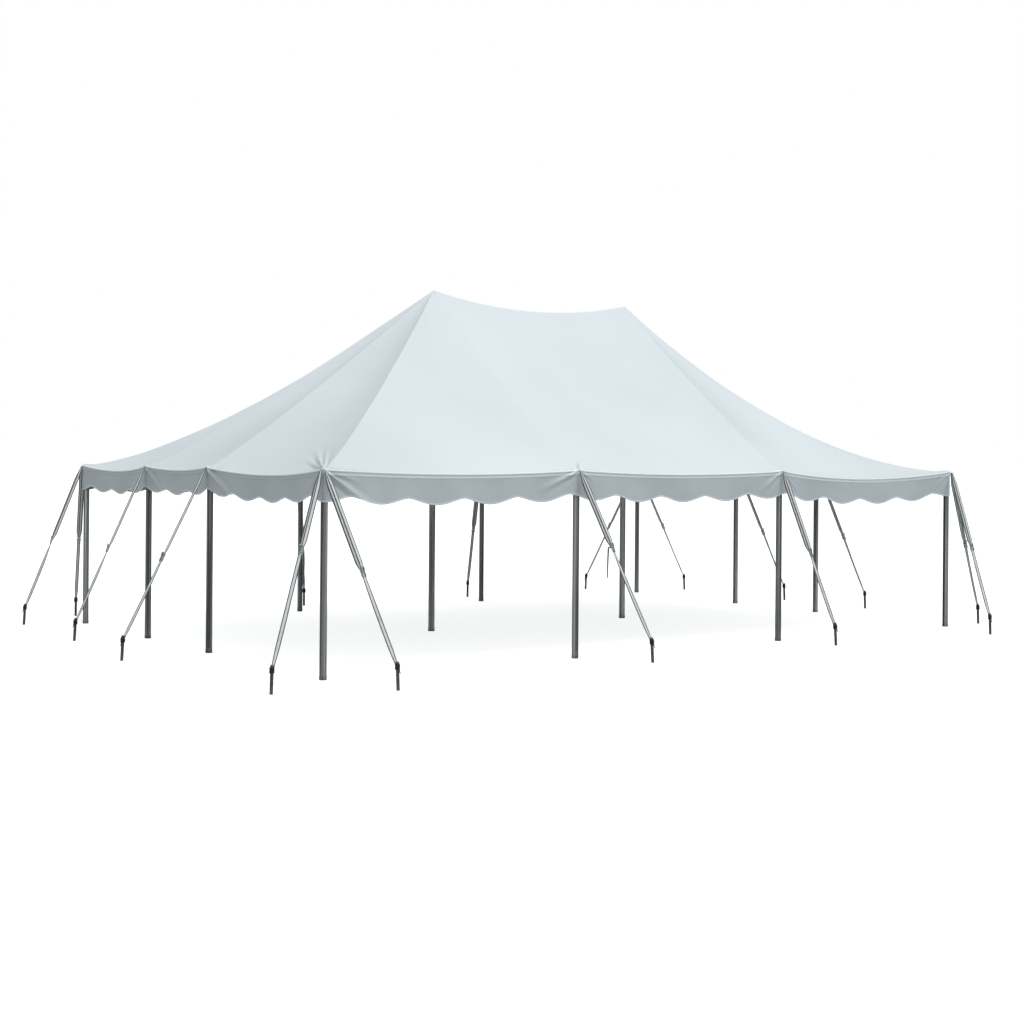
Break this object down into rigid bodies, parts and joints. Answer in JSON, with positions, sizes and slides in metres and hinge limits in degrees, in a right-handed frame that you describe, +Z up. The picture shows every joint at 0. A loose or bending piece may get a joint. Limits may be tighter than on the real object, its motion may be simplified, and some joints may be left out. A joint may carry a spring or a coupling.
{
  "type": "pole marquee tent",
  "caption": "Open-sided pole marquee with a two-peaked hipped membrane roof, scalloped valance, upright poles and strap guys on stakes.",
  "frame": {"origin": "on the ground under the middle of the tent, level with the pole feet", "axes": "+X along the long sides to the right, +Y from the front to the back, +Z up"},
  "size_m": [11.2503, 8.0708, 4.18],
  "materials": {
    "roof_vinyl": "satin coated fabric",
    "valance_vinyl": "satin coated fabric",
    "pole_steel": "satin dark grey",
    "strap_webbing": "woven polyester webbing",
    "stake_steel": "dull dark steel"
  },
  "bodies": {
    "root": {"centre_pole_left": "pole_steel", "centre_pole_right": "pole_steel", "guy_back_1": "strap_webbing", "guy_back_2": "strap_webbing", "guy_back_3": "strap_webbing", "guy_back_4": "strap_webbing", "guy_front_1": "strap_webbing", "guy_front_2": "strap_webbing", "guy_front_3": "strap_webbing", "guy_front_4": "strap_webbing", "guy_left_1": "strap_webbing", "guy_left_2": "strap_webbing", "guy_left_3": "strap_webbing", "guy_left_4": "strap_webbing", "guy_right_1": "strap_webbing", "guy_right_2": "strap_webbing", "guy_right_3": "strap_webbing", "guy_right_4": "strap_webbing", "pole_back_1": "pole_steel", "pole_back_2": "pole_steel", "pole_back_3": "pole_steel", "pole_back_4": "pole_steel", "pole_front_1": "pole_steel", "pole_front_2": "pole_steel", "pole_front_3": "pole_steel", "pole_front_4": "pole_steel", "pole_left_2": "pole_steel", "pole_left_3": "pole_steel", "pole_right_2": "pole_steel", "pole_right_3": "pole_steel", "roof_back": "roof_vinyl", "roof_front": "roof_vinyl", "roof_left": "roof_vinyl", "roof_right": "roof_vinyl", "stake_back_1": "stake_steel", "stake_back_2": "stake_steel", "stake_back_3": "stake_steel", "stake_back_4": "stake_steel", "stake_front_1": "stake_steel", "stake_front_2": "stake_steel", "stake_front_3": "stake_steel", "stake_front_4": "stake_steel", "stake_left_1": "stake_steel", "stake_left_2": "stake_steel", "stake_left_3": "stake_steel", "stake_left_4": "stake_steel", "stake_right_1": "stake_steel", "stake_right_2": "stake_steel", "stake_right_3": "stake_steel", "stake_right_4": "stake_steel", "valance_back": "valance_vinyl", "valance_front": "valance_vinyl", "valance_left": "valance_vinyl", "valance_right": "valance_vinyl"}
  },
  "joints": []
}
